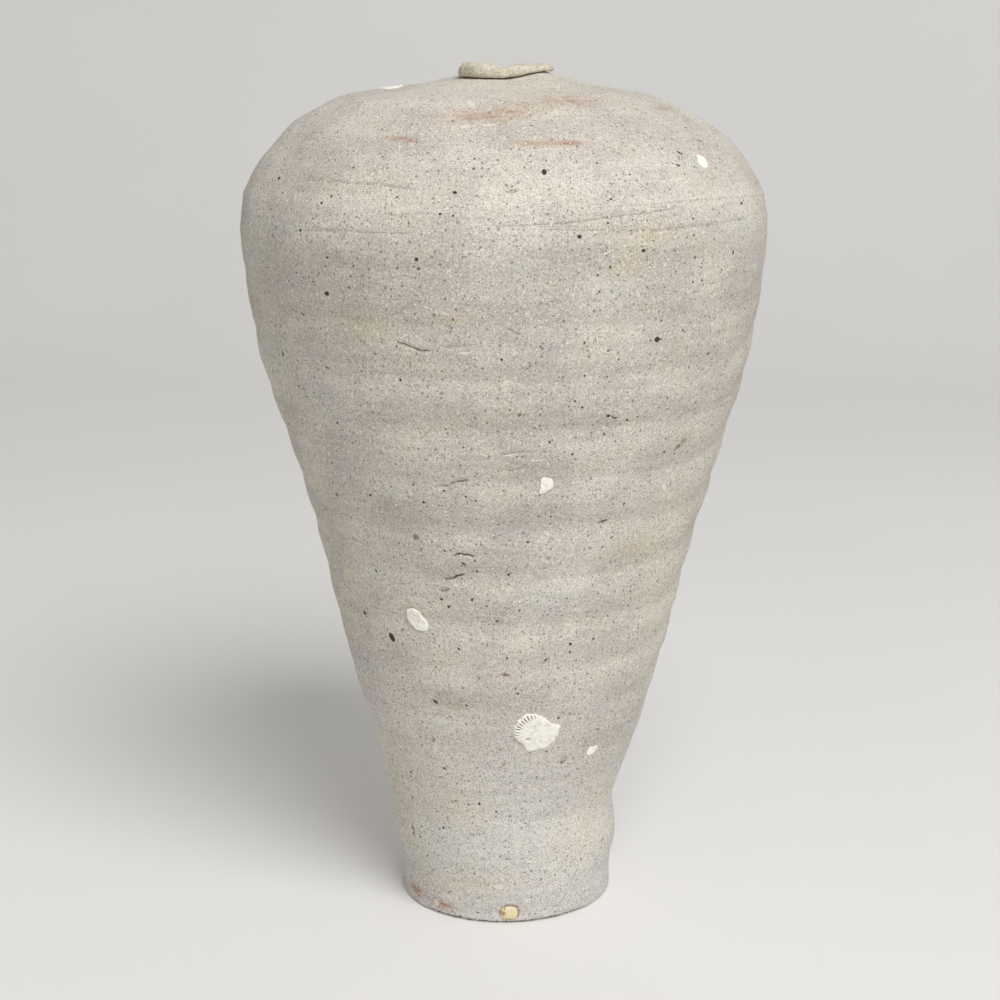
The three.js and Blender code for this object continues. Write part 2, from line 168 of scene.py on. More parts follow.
# Lines cut or cracked into the clay, and a painted shadow along the foot's bottom edge: half width, depth,
# darkness, and the way as degrees and heights.
LINES = (
    (0.45, 0.16, 0.25, ((-70.5, 226.6), (-61.1, 226.1), (-49.8, 226.7), (-36.3, 226.4), (-11.3, 224.5))),
    (
        0.4, 0.2, 0.4,
        ((-96.6, 221.9), (-90.4, 221.4), (-78, 222.2), (-68.7, 223.4), (-59.6, 224), (-49.3, 225.4)),
    ),
    (
        0.6, 0.22, 0.3,
        ((-87.7, 219.8), (-82.3, 220.5), (-69, 220), (-59.8, 219.2), (-51.1, 219.6), (-24.1, 219.9)),
    ),
    (0.8, 0.35, 0.35, ((-139.9, 231.6), (-128.3, 231.9), (-117.5, 231.9), (-106.4, 230.3))),
    (0.4, 0.18, 0.35, ((-135.8, 218), (-123.8, 219.1), (-117.3, 219), (-106.8, 219.3))),
    (0.5, 0.35, 0.9, ((-113.7, 189.8), (-110.7, 188.9), (-108.7, 187.8), (-106.9, 187.4), (-104.8, 187.6))),
    (0.4, 0.2, 0.35, ((-103, 188.8), (-101.3, 188.9), (-99.3, 189), (-95.3, 189.6))),
    (0.4, 0.2, 0.3, ((-114.2, 196.4), (-111.5, 197.7), (-109.2, 200.1), (-108, 200.7))),
    (0.5, 0.25, 0.8, ((-90, 194.1), (-87.2, 192.4))),
    (0.4, 0.2, 0.35, ((-120, 166.6), (-116.1, 165.3), (-112.5, 166.8))),
    (0.5, 0.2, 0.35, ((-91.4, 157.5), (-86.8, 158.4), (-82.2, 158.3), (-77.5, 158))),
    (0.5, 0.2, 0.35, ((-91.4, 152.4), (-87.6, 152.9), (-84.4, 154.3))),
    (0.5, 0.3, 0.8, ((-106.9, 147.6), (-104.4, 147.8), (-101.9, 149.1), (-98.5, 149.9))),
    (0.6, 0.4, 1.3, ((-64.7, 134.7), (-61.9, 135.4))),
    (0.6, 0.3, 1.2, ((-104.2, 125.8), (-102.4, 126.9), (-101, 126.5), (-98, 126))),
    (0.6, 0.3, 1.3, ((-108.1, 117.9), (-105.2, 118.2), (-104.3, 118.9), (-101, 120.1))),
    (0.6, 0.3, 1.2, ((-109.6, 114.2), (-107.8, 114.1), (-106.7, 114.7))),
    # Painted shadow: a dark line along the foot's bottom edge, where the jar meets the floor.
    (0.6, 0.2, 1.1, ((-142, 0.7), (-115, 0.5), (-90, 0.4), (-65, 0.5), (-38, 0.7))),
)
LINE_SOLID = 0.8
LINE_REACH = 1.3
LINE_FAR = 3.0
LINE_AREA = 8
LINE_USUAL_HALF = 0.4
# The share of a line's length over which each end of it fades.
LINE_FADE = 0.15
# A line's heights tell which radius to lay it out on.
SHOULDER_LINES_FROM = 180
SHOULDER_LINE_RADIUS = 78
WALL_LINE_RADIUS = 66

# Stains, and one patch of painted light among the cream ones: the middle in degrees and height, the half
# width and half height, and a turn in degrees if any.
STAINS_AND_PAINTED_LIGHT = {
    "yellow": (
        (-119.9, 193.1, 8.6, 4.6), (-101, 197, 6, 2.2), (-64.9, 210.5, 5, 3.6), (-130.5, 230.7, 6, 1.8),
        (-106, 75.8, 4.4, 3.2), (-112.7, 40.5, 4.7, 3.4), (-57.8, 217.8, 9.7, 2.7),
        (-49.3, 125.3, 11.6, 4), (-112, 12.5, 13, 3.2, 8), (-152, 35, 8, 18, 10),
    ),
    "pink": (
        (-65.2, 252.6, 10.5, 1.5), (-93.8, 249.6, 14, 2, 5), (-82, 242.3, 11, 0.9),
        (-23, 249.9, 7, 0.6),
    ),
    "red": (
        (-147, 4.2, 6, 1.5), (-115.2, 243.2, 4.3, 0.6, -6), (-74.5, 242.4, 3.5, 0.5),
        (-124.5, 3.8, 3.6, 1.6),
    ),
    "grey": (
        (-37.3, 62.6, 16.5, 18.4, -20), (-79.4, 213.7, 8.2, 2.7), (-118, 138.5, 15, 4.5),
        (-66, 164, 13, 4.5), (-120, 209, 17, 6), (-34, 240, 14, 9), (-104, 144, 9, 4),
        (-108, 77, 14, 5),
    ),
    "cream_and_painted_light": (
        (-47.1, 25.7, 11.3, 7.8), (-105.3, 37.2, 5.2, 4.5), (-84.1, 97.8, 3.8, 3), (-113, 93, 5, 4),
        (-70, 104, 3, 2.4), (-35.8, 35.5, 8.8, 8.7), (-110, 225, 13, 6), (-90, 257, 22, 3.5),
        # The cream patch at -36 degrees and 128 high is painted light, brightening the right of the wall.
        (-36, 128, 14, 34), (-122, 48, 10, 14),
    ),
}

# Specks that have a place of their own, given as the stains are.
SPECKS = {
    "iron": (
        (-81.8, 235.2, 0.75, 0.75), (-100.3, 230.1, 0.7, 0.4, -15), (-148, 231.3, 0.8, 0.4),
        (-129.7, 226, 0.45, 0.4), (-102.8, 224.5, 0.4, 0.4), (-30.4, 224, 0.7, 0.35),
        (-75.6, 218.5, 0.6, 0.55), (-134.9, 218.2, 0.5, 0.4), (-61.8, 214, 0.6, 0.55),
        (-107.3, 212.4, 0.55, 0.54), (-127.2, 211.5, 0.44, 0.35), (-34.9, 210.7, 0.45, 0.8),
        (-122.4, 203.7, 0.35, 0.3), (-128.3, 201.4, 0.85, 0.65), (-136.7, 194.4, 0.86, 0.25, -30),
        (-56.7, 188.9, 0.95, 0.85), (-90.8, 185.5, 0.4, 0.4), (-40, 182.5, 0.65, 0.3, 30),
        (-147.5, 181, 0.4, 0.85, 8), (-73.2, 171, 0.38, 0.38), (-67.1, 167.9, 0.4, 0.35),
        (-126.5, 142, 0.45, 0.4), (-89.1, 120.2, 0.4, 0.4), (-99.7, 112, 0.4, 0.4),
        (-61, 97.4, 0.38, 0.38), (-69.1, 96.8, 0.48, 0.48), (-140.8, 101.4, 0.45, 0.6),
        (-128.4, 96.4, 1, 1.55, 25), (-104.6, 95.8, 0.4, 0.4), (-76.9, 92, 0.4, 0.4),
        (-115.6, 76.4, 0.95, 0.5, -40), (-103.8, 76.3, 0.36, 0.36), (-116.2, 53.1, 0.45, 0.45),
        (-101.7, 41.6, 0.4, 0.5), (-121.2, 31.2, 0.45, 0.4), (-101.4, 123.6, 0.7, 0.35, -35),
        (-109, 111.4, 0.42, 0.42), (-107.1, 109.1, 0.42, 0.42), (-45, 238.8, 0.9, 0.3, -35),
        (-31.9, 241.2, 1, 0.25, -20), (-47.9, 235.7, 0.8, 0.25, -30), (-66.7, 167.9, 0.5, 0.4),
        (-64.8, 167.1, 0.5, 0.35), (-61.7, 166.1, 0.4, 0.35), (-112.8, 178.5, 0.4, 0.4),
        (-141.2, 101.6, 0.5, 0.55), (-157.7, 157.6, 0.7, 0.4), (-148, 180.9, 0.6, 0.5),
        (-80, 161.2, 0.36, 0.36), (-74.5, 157.2, 0.36, 0.36),
    ),
    "brown": (
        (-43, 155.8, 3.2, 0.9, 30), (-114.4, 130.8, 1.1, 0.9), (-139.5, 139.8, 0.9, 0.6),
        (-89.9, 87.4, 1.5, 0.5, -10), (-119.1, 62.9, 0.6, 1), (-64.6, 55.7, 1.1, 1.6, -35),
        (-113.6, 41.5, 1.4, 0.35, 25), (-141.9, 26.8, 0.6, 2.4, 15), (-88.6, 230.5, 1.9, 0.5, 10),
        (-87.4, 3.9, 3.4, 2.7), (-87, 169.7, 0.7, 0.6),
    ),
    "white": (
        (-93.1, 12.7, 1.6, 1), (-129.4, 3.7, 1.2, 1.2), (-78.3, 7.5, 0.6, 0.6), (-92.9, 43.1, 0.8, 0.3),
        (-118.7, 59.9, 0.6, 2.2, -10), (-53.7, 85.8, 0.9, 0.3, -15), (-75.8, 130.8, 1, 0.3, -15),
        (-45.5, 143.2, 0.6, 1.3, 30), (-42.4, 139.8, 0.5, 1.4), (-138.5, 152.5, 0.5, 0.8),
        (-82.5, 155.8, 2.4, 0.25, 4), (-89.1, 157.6, 1.6, 0.25, 8), (-59.3, 155.8, 0.8, 0.45),
        (-144.8, 157.1, 1, 1.3, 30), (-124.3, 144.6, 0.6, 0.35, -30), (-89.8, 179, 0.9, 0.45),
        (-98.5, 187.2, 1.2, 0.35), (-101.9, 198, 1.4, 0.3, -20), (-105.7, 199.5, 1, 0.25, -20),
        (-70.2, 213.8, 0.4, 0.4), (-104.3, 116.4, 0.8, 0.6), (-101.5, 252.2, 1.5, 0.5, -20),
        (-100.6, 246.6, 1.2, 0.35, 15), (-94.5, 247.2, 2, 0.25, 5),
    ),
}
PATCH_FALL = 0.9
SPECK_FAR = 9.0
SPECK_NEAR = 2.5


def smoothstep(x, low, high):
    t = np.clip((x - low) / (high - low), 0, 1)
    return t * t * (3 - 2 * t)


def hump(x):
    return np.exp(-x * x)


def turn_between(a, b):
    return np.arctan2(np.sin(a - b), np.cos(a - b))


def unit(vectors):
    return vectors / np.linalg.norm(vectors, axis=-1, keepdims=True)


def neighbours_apart(points, axis):
    return np.roll(points, -1, axis) - np.roll(points, 1, axis)


def angles_round(sides):
    """Angles once round the jar from its front."""
    return -math.pi / 2 + np.arange(sides) * 2 * math.pi / sides


def on_ring(radius, angle, z):
    radius, angle, z = np.broadcast_arrays(radius, angle, z)
    return np.stack([radius * np.cos(angle), radius * np.sin(angle), z], axis=-1)


def smooth_line(table, x):
    """A smooth line through rows of x and y, at each row sloped as its neighbours lie."""
    xs, ys = np.array(table, float).T
    before = np.maximum(np.arange(len(xs)) - 1, 0)
    after = np.minimum(np.arange(len(xs)) + 1, len(xs) - 1)
    slope = (ys[after] - ys[before]) / (xs[after] - xs[before])
    i = np.clip(np.searchsorted(xs, x, side="left") - 1, 0, len(xs) - 2)
    step = xs[i + 1] - xs[i]
    t = (x - xs[i]) / step
    blend = t * t * (3 - 2 * t)
    bend = step * t * (1 - t) * ((1 - t) * slope[i] - t * slope[i + 1])
    return ys[i] + (ys[i + 1] - ys[i]) * blend + bend


def soft_line(table, x):
    """Straight lines through rows of x and y, with rounded corners."""
    xs, ys = np.array(table, float).T
    reach = np.minimum(CROWN_SOFTNESS, np.minimum(x, 1 - x))
    return sum(np.interp(x + reach * part, xs, ys) for part in (-1, -0.5, 0, 0.5, 1)) / 5


class Bumps:
    """Smooth bumps in space, about 1 high and 1 wide, the same on every run."""

    def __init__(self, seed):
        draw = np.random.default_rng(seed)
        self.order = draw.permutation(256)
        self.slopes = unit(draw.normal(size=(256, 3)))

    def __call__(self, points):
        cell = np.floor(points).astype(int)
        part = points - cell
        ease = part**3 * (part * (part * 6 - 15) + 10)
        total = np.zeros(points.shape[:-1])
        for corner in itertools.product((0, 1), repeat=3):
            step = np.array(corner)
            key = (cell + step) & 255
            row = self.order[key[..., 0]]
            row = self.order[(row + key[..., 1]) & 255]
            slope = self.slopes[self.order[(row + key[..., 2]) & 255]]
            weight = np.prod(np.where(step, ease, 1 - ease), axis=-1)
            total += weight * np.sum(slope * (part - step), axis=-1)
        return 1.6 * total


bumps = Bumps(seed=11)


def ridges(angle, z):
    """Finger ridges: rounded bands with narrow valleys, strongest in the middle of the wall."""
    front = smoothstep(-np.sin(angle), 0.1, 0.5)
    drop = RIDGE_FRONT_DROP * front + (1 - front) * np.sin(angle + z / RIDGE_PITCH)
    phase = (z - MIDDLE_SEAM + drop) / RIDGE_PITCH
    band = np.hypot(np.sin(np.pi * phase), RIDGE_SOFTNESS) - RIDGE_MEAN
    fade_in = smoothstep(z, WAIST, WAIST + RIDGE_FADE_IN)
    fade_out = 1 - smoothstep(z, SHOULDER - RIDGE_FADE_OUT, SHOULDER)
    depth = RIDGE_DEPTH + (RIDGE_FRONT_DEPTH - RIDGE_DEPTH) * front
    return depth * band * fade_in * fade_out


def wall_radius(angle, z):
    radius = smooth_line(WALL_OUTLINE, z) + ridges(angle, z) + OUT_OF_ROUND * np.sin(2 * angle)
    for middle, height, reach_round, reach_up, depth in PRESSED:
        near = hump(turn_between(angle, middle) / reach_round) * hump((z - height) / reach_up)
        radius = radius - depth * near
    return radius


def hollow_radius(z):
    return smooth_line(WALL_OUTLINE, z) - WALL


def lobe_share(angle):
    """How much of the rim's thick lobe an angle has, from 0 to 1."""
    return 1 - smoothstep(np.abs(turn_between(angle, RIM_LOBE_ANGLE)), RIM_LOBE_HALF, RIM_LOBE_FADED)


def at_back(angle):
    return smoothstep(np.sin(angle), 0.3, 0.9)


def crown_height(angle, share):
    """Height of the crown above the shoulder, at a share of the way in to the neck."""
    right = (1 + np.cos(angle)) / 2
    rise = (1 - right) * soft_line(CROWN_LEFT, share) + right * soft_line(CROWN_RIGHT, share)
    pressed = smoothstep(share, 0, CROWN_FLAT_DEEPEST) - smoothstep(share, CROWN_FLAT_DEEPEST, CROWN_FLAT_END)
    flats = CROWN_FLAT_DEPTH * np.abs(np.sin(CROWN_FLATS * angle / 2)) * pressed
    swollen = (1 - lobe_share(angle)) * (1 - at_back(angle))
    swell = NECK_SWELL * smoothstep(share, SWELL_START, SWELL_FULL) * swollen
    return CROWN_RISE * rise - flats + swell


def clay_base(angle, path):
    """The even form of the clay's outside, before its unevenness."""
    path = np.clip(path, 0, PATH_END)
    wall_z = np.minimum(path, SHOULDER)
    share = (path - wall_z) / CROWN_SPAN
    edge = wall_radius(angle, wall_z)
    under = 1 - np.minimum(path / FOOT_ROUNDING, 1)
    edge = edge - FOOT_ROUNDING * (1 - np.sqrt(1 - under**2))
    radius = edge + (NECK_HOLE_RADIUS - edge) * share
    return on_ring(radius, angle, wall_z + crown_height(angle, share))


def clay_slopes(angle, path):
    """How far the clay goes for each radian round it, and for each step along the path."""
    turn, step = 0.004, 0.3
    around = (clay_base(angle + turn, path) - clay_base(angle - turn, path)) / (2 * turn)
    upward = (clay_base(angle, path + step) - clay_base(angle, path - step)) / (2 * step)
    return around, upward


def path_stretch(upward):
    """How much longer the path is than the height that it gains."""
    return np.linalg.norm(upward, axis=-1) / np.maximum(upward[..., 2], 0.05)


def nearest_on_line(way, x, y, stretch):
    """Signed distance to a line, the upper side positive, and how far along it the nearest place lies."""
    signed = np.full(x.shape, 1e6)
    along = np.zeros(x.shape)
    gone = 0.0
    for (x0, y0), (x1, y1) in zip(way, way[1:]):
        dx, dy = x1 - x0, (y1 - y0) * stretch
        length = np.hypot(dx, dy)
        px, py = x - x0, (y - y0) * stretch
        t = np.clip((px * dx + py * dy) / length**2, 0, 1)
        away = np.hypot(px - t * dx, py - t * dy)
        side = np.where(dx * py - dy * px >= 0, 1, -1)
        nearer = away < np.abs(signed)
        signed = np.where(nearer, away * side, signed)
        along = np.where(nearer, gone + t * length, along)
        gone = gone + length
    return signed, along, gone


def line_marks(angle, z, stretch):
    """The nearest line's signed distance and darkness, and how deep the lines cut."""
    side = np.full(angle.shape, LINE_FAR)
    dark = np.zeros(angle.shape)
    cut = np.zeros(angle.shape)
    for half, depth, darkness, way in LINES:
        middle = np.radians((way[0][0] + way[-1][0]) / 2)
        radius = SHOULDER_LINE_RADIUS if way[0][1] > SHOULDER_LINES_FROM else WALL_LINE_RADIUS
        turn = turn_between(angle, middle)
        near = (np.abs(turn) < 1) & (np.abs(z - way[0][1]) < LINE_AREA)
        flat = [((math.radians(a) - middle) * radius, height) for a, height in way]
        signed, along, length = nearest_on_line(flat, turn[near] * radius, z[near], stretch[near])
        fade = LINE_FADE * length
        ends = smoothstep(along, 0, fade) * smoothstep(length - along, 0, fade)
        closer = np.abs(signed) < np.abs(side[near])
        side[near] = np.where(closer, signed * LINE_USUAL_HALF / half, side[near])
        shown = darkness * ends * (1 - smoothstep(np.abs(signed), LINE_SOLID, LINE_REACH))
        dark[near] = np.where(closer, shown, dark[near])
        cut[near] += depth * ends * hump(signed / half)
    return np.clip(side, -LINE_FAR, LINE_FAR), dark, cut


def clay_relief(base, path, cut):
    """How far the clay stands out from its even form."""
    height = sum(amount * bumps(base / np.array(size)) for amount, size in RELIEF)
    from_foot = RELIEF_AT_FOOT + (1 - RELIEF_AT_FOOT) * smoothstep(path, 0, RELIEF_FOOT_RISE)
    to_neck = 1 - smoothstep(path, PATH_END - RELIEF_NECK_FALL, PATH_END)
    return (height - RELIEF_SINK) * from_foot * to_neck - cut


def clay_surface(angle, path, lift=0):
    """Points on the uneven clay, lifted off it by a distance, with their even form and the lines on them."""
    around, upward = clay_slopes(angle, path)
    base = clay_base(angle, path)
    side, dark, cut = line_marks(angle, base[..., 2], path_stretch(upward))
    out = clay_relief(base, path, cut) + lift
    points = base + unit(np.cross(around, upward)) * out[..., None]
    points[..., 2] = np.maximum(points[..., 2], 0)
    return points, base, side, dark


def place_of(degrees, z):
    """Angle and path of a place given in degrees and height."""
    angle = math.radians(degrees)
    if z <= SHOULDER:
        return angle, z
    path = np.linspace(SHOULDER, PATH_END, 200)
    heights = clay_base(np.full(path.shape, angle), path)[:, 2]
    return angle, float(np.interp(z, heights, path))


def ellipse_offset(angle, z, radius, mark):
    """How far a place is from a mark's middle, in the mark's own half sizes."""
    degrees, height, wide, high, turned = (*mark, 0)[:5]
    across = turn_between(angle, math.radians(degrees)) * radius
    up = z - height
    c, s = math.cos(math.radians(turned)), math.sin(math.radians(turned))
    return (across * c + up * s) / wide, (up * c - across * s) / high


def patch_strength(angle, z, radius, marks):
    total = np.zeros(angle.shape)
    for mark in marks:
        u, v = ellipse_offset(angle, z, radius, mark)
        total += np.exp(-PATCH_FALL * (u * u + v * v))
    return np.minimum(total, 1)


def speck_offset(angle, z, radius, marks):
    """The offset from the nearest speck of one kind, in its own half sizes.

    The third number grows away from the speck, so that no place between two far vertices reads as near.
    """
    offset = np.zeros(angle.shape + (3,))
    nearest = np.full(angle.shape, SPECK_FAR)
    for mark in marks:
        u, v = ellipse_offset(angle, z, radius, mark)
        away = np.hypot(u, v)
        nearer = away < nearest
        offset[nearer, 0] = u[nearer]
        offset[nearer, 1] = v[nearer]
        nearest = np.where(nearer, away, nearest)
    offset[..., 2] = np.maximum(nearest - SPECK_NEAR, 0)
    return offset


# Meshes.

SHARP_FROM = 50


def loft_faces(rings, sides, closed):
    """Rows of four vertex numbers for the faces between rings. Closed joins the last ring to the first."""
    ring = np.arange(rings if closed else rings - 1)[:, None]
    side = np.arange(sides)[None, :]
    beside = (side + 1) % sides
    low, high = ring * sides, (ring + 1) % rings * sides
    return np.stack([low + side, low + beside, high + beside, high + side], axis=-1).reshape(-1, 4)


def new_object(name, data):
    made = bpy.data.objects.new(name, data)
    bpy.context.collection.objects.link(made)
    return made


def smooth_mesh(name, points, faces):
    mesh = bpy.data.meshes.new(name)
    mesh.from_pydata((np.array(points) * MM).tolist(), [], faces)
    mesh.polygons.foreach_set("use_smooth", [True] * len(mesh.polygons))
    return mesh


def make_mesh(name, rings, caps=(), marks=None, unmarked=0, seam_normals=None):
    """A mesh through rings of points, marked past the unmarked ones. Caps are the points at its two ends."""
    count, sides = rings.shape[:2]
    points = rings.reshape(-1, 3)
    faces = loft_faces(count, sides, closed=not len(caps)).tolist()
    if len(caps):
        low = len(points)
        points = np.concatenate([points, np.array(caps, float)])
        for k in range(sides):
            beside = (k + 1) % sides
            faces.append([low, beside, k])
            faces.append([low + 1, low - sides + k, low - sides + beside])
    mesh = smooth_mesh(name, points, faces)
    mesh.set_sharp_from_angle(angle=math.radians(SHARP_FROM))
    for key, values in (marks or {}).items():
        add_mark(mesh, key, values, unmarked)
    if seam_normals is not None:
        keep_seams_smooth(mesh, sides, *seam_normals)
    mesh.update()
    return mesh


def add_mark(mesh, key, values, unmarked):
    """Stores a value on each vertex past the unmarked ones. The rest, which don't show, get a plain one."""
    kind = "FLOAT" if values.ndim == 1 else "FLOAT_VECTOR"
    plain = np.zeros((len(mesh.vertices),) + values.shape[1:])
    plain[...] = SPECK_FAR if values.ndim == 2 else 0
    plain[unmarked : unmarked + len(values)] = values
    layer = mesh.attributes.new(key, kind, "POINT")
    layer.data.foreach_set("value" if values.ndim == 1 else "vector", plain.ravel().astype(np.float32))


def keep_seams_smooth(mesh, sides, outer_rings, first, last):
    """Gives the outside's corners at its two seams the normals of the whole wall, so that no seam shows."""
    corners = np.zeros((len(mesh.loops), 3))
    low = corners[: 4 * sides].reshape(sides, 4, 3)
    low[:, 0] = first
    low[:, 1] = np.roll(first, -1, axis=0)
    start = 4 * sides * (outer_rings - 2)
    high = corners[start : start + 4 * sides].reshape(sides, 4, 3)
    high[:, 2] = np.roll(last, -1, axis=0)
    high[:, 3] = last
    mesh.normals_split_custom_set(corners.tolist())


def add_piece(node, kind, slot, material, rings, **details):
    """A piece that stands for a node, as a mesh through rings of points."""
    mesh = make_mesh(node, rings, **details)
    mesh.materials.append(material)
    piece = new_object(f"{node}_{kind}", mesh)
    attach(piece, "root")
    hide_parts(node)


# Materials.


def colour(*shown):
    """A colour made linear from its red, green and blue on a screen, each from 0 to 255."""
    parts = [value / 255 for value in shown]
    linear = [p / 12.92 if p <= 0.04045 else ((p + 0.055) / 1.055) ** 2.4 for p in parts]
    return (*linear, 1.0)


GREY_CLAY = colour(198, 191, 183)
PALE_CLAY = colour(211, 206, 196)
WARM_CLAY = colour(208, 198, 180)
GREEN_CLAY = colour(201, 197, 176)
COOL_CLAY = colour(190, 191, 192)
# Painted bounce light: a paler clay colour low on the wall, as the pale floor lights it.
FOOT_BOUNCE_LIGHT = colour(211, 208, 203)
IRON_SPECK = colour(52, 44, 42)
BROWN_SPECK = colour(134, 108, 74)
LINE_BROWN = colour(106, 94, 80)
DUST_SPECK = colour(146, 137, 127)
WHITE_SPECK = colour(228, 223, 208)
GREY_SPECK = colour(104, 96, 88)
RIM_CLAY = colour(216, 209, 191)
RIM_SHADE = colour(199, 191, 173)
LIME_WHITE = colour(250, 248, 241)
LIME_CREAM = colour(236, 229, 211)
SHELL_BEIGE = colour(202, 194, 180)
PEBBLE_CREAM = colour(236, 221, 182)
PEBBLE_BROWN = colour(150, 112, 66)

# The colours of the stains and of the painted light, and how strong each is at most.
STAIN_AND_LIGHT_COLOURS = {
    "yellow": (colour(206, 193, 152), 0.42),
    "pink": (colour(178, 148, 124), 0.85),
    "red": (colour(170, 120, 96), 0.9),
    "grey": (colour(168, 162, 154), 0.5),
    "cream_and_painted_light": (colour(217, 210, 194), 0.75),
}

# How far a shift of one moves a pattern, counted in its own sizes.
SHIFT_WAY = (7.3, 3.1, 5.7)


class Graph:
    """A material's nodes. Sizes of patterns are in millimetres; a shift tells one pattern from the next."""

    def __init__(self, name, roughness, specular):
        self.material = bpy.data.materials.new(name)
        self.material.use_nodes = True
        self.tree = self.material.node_tree
        self.shader = self.tree.nodes["Principled BSDF"]
        self.shader.inputs["Specular IOR Level"].default_value = specular
        self.shader.inputs["Roughness"].default_value = roughness
        self.place = self.node("ShaderNodeTexCoord").outputs["Object"]

    def node(self, kind, inputs=None, **settings):
        made = self.tree.nodes.new(kind)
        for key, value in settings.items():
            setattr(made, key, value)
        for key, value in (inputs or {}).items():
            self.feed(made.inputs[key], value)
        return made

    def feed(self, socket, value):
        if isinstance(value, bpy.types.NodeSocket):
            self.tree.links.new(value, socket)
        else:
            socket.default_value = value

    def math(self, operation, a, b=0):
        return self.node("ShaderNodeMath", {0: a, 1: b}, operation=operation).outputs[0]

    def times(self, a, b):
        return self.math("MULTIPLY", a, b)

    def vector(self, operation, inputs):
        return self.node("ShaderNodeVectorMath", inputs, operation=operation).outputs[0]

    def step(self, value, low, high, start=0, end=1):
        """Eases from start to end as the value goes from low to high."""
        inputs = {"Value": value, "From Min": low, "From Max": high, "To Min": start, "To Max": end}
        return self.node("ShaderNodeMapRange", inputs, interpolation_type="SMOOTHSTEP").outputs[0]

    def scaled(self, size, shift):
        """The place, counted in the pattern's size, or its size in each direction, and shifted."""
        sizes = size if isinstance(size, tuple) else (size, size, size)
        factors = [1 / (MM * each) for each in sizes]
        shifts = [shift * each for each in SHIFT_WAY]
        return self.vector("MULTIPLY_ADD", {0: self.place, 1: factors, 2: shifts})

    def noise(self, size, detail, shift):
        inputs = {"Vector": self.scaled(size, shift), "Scale": 1, "Detail": detail, "Roughness": 0.55}
        return self.node("ShaderNodeTexNoise", inputs).outputs[0]

    def cloud(self, size, detail, shift):
        """Noise of three numbers at each place."""
        inputs = {"Vector": self.scaled(size, shift), "Scale": 1, "Detail": detail}
        return self.node("ShaderNodeTexNoise", inputs).outputs["Color"]

    def specks(self, cell, radius, chance, shift, ragged):
        """Specks at random places, one or none in each cell: 1 inside and 0 outside."""
        where = self.vector("ADD", {0: self.scaled(cell, shift), 1: ragged})
        cells = self.node("ShaderNodeTexVoronoi", {"Vector": where, "Scale": 1})
        split = self.node("ShaderNodeSeparateColor", {0: cells.outputs["Color"]})
        present = self.math("LESS_THAN", split.outputs[0], chance)
        size = self.step(split.outputs[1], 0, 1, 0.65 * radius / cell, 1.15 * radius / cell)
        inside = self.math("LESS_THAN", cells.outputs["Distance"], size)
        return self.times(inside, present)

    def ragged(self, size, amount):
        """A small random shift of place, which makes outlines ragged."""
        centred = self.vector("SUBTRACT", {0: self.cloud(size, 2, 2), 1: (0.5, 0.5, 0.5)})
        return self.shade(centred, amount)

    def mark(self, key):
        return self.node("ShaderNodeAttribute", attribute_name=key).outputs["Fac"]

    def placed_specks(self, key, ragged):
        """Specks from offsets stored on the mesh: 1 inside and 0 outside."""
        offset = self.node("ShaderNodeAttribute", attribute_name=key).outputs["Vector"]
        moved = self.vector("ADD", {0: offset, 1: ragged})
        away = self.node("ShaderNodeVectorMath", {0: moved}, operation="LENGTH").outputs["Value"]
        return self.step(away, 0.85, 1.1, 1, 0)

    def mix(self, share, a, b):
        made = self.node("ShaderNodeMix", {0: share, 6: a, 7: b}, data_type="RGBA")
        return made.outputs[2]

    def shade(self, tint, amount):
        """A colour made darker or lighter by an amount."""
        return self.vector("SCALE", {0: tint, "Scale": amount})

    def finish(self, tint, height):
        """Joins the colour, and the height in millimetres as a bump, to the shader."""
        self.feed(self.shader.inputs["Base Color"], tint)
        bump = self.node("ShaderNodeBump", {"Height": height, "Distance": MM, "Strength": 1})
        self.feed(self.shader.inputs["Normal"], bump.outputs[0])
        return self.material


# Painted shade and light by height, as light from above falls on the jar: the clay is a little darker on the
# body and at the foot's bottom, and paler on the crown. Where that starts, where it is full, and how much.
PAINTED_SHADE_AND_LIGHT_BANDS = ((18, 4, 0.96), (84, 118, 0.955), (172, 200, 0.965), (211, 226, 1.09))
# Heights where the painted bounce light low on the wall starts and where it is full.
FOOT_BOUNCE_START = 95
FOOT_BOUNCE_FULL = 35


def clay_patches_and_painted_light(g):
    """The clay's ground colour: grey to pale, with warm and cool places, painted bounce light low on the
    wall, painted shade and light by height, and streaks that are partly painted shade.
    """
    tint = g.mix(g.step(g.noise(24, 4, 1), 0.4, 0.62), GREY_CLAY, PALE_CLAY)
    tint = g.mix(g.step(g.noise(12, 4, 2), 0.5, 0.7, 0, 0.45), tint, WARM_CLAY)
    tint = g.mix(g.step(g.noise(16, 4, 9), 0.52, 0.7, 0, 0.35), tint, GREEN_CLAY)
    tint = g.mix(g.step(g.noise((18, 18, 12), 4, 3), 0.5, 0.7, 0, 0.22), tint, COOL_CLAY)
    height = g.node("ShaderNodeSeparateXYZ", {0: g.place}).outputs[2]
    # Painted bounce light from the floor, eased in towards the foot.
    tint = g.mix(g.step(height, FOOT_BOUNCE_START * MM, FOOT_BOUNCE_FULL * MM, 0, 0.75), tint, FOOT_BOUNCE_LIGHT)
    for start, end, amount in PAINTED_SHADE_AND_LIGHT_BANDS:
        tint = g.shade(tint, g.step(height, start * MM, end * MM, 1, amount))
    # Horizontal streaks, a little darker and paler: partly the clay's own tone, partly painted shade of the
    # throwing bands.
    streaks = g.step(g.noise((30, 30, 2.2), 3, 4), 0.3, 0.7, 0.95, 1.045)
    return g.shade(tint, streaks)


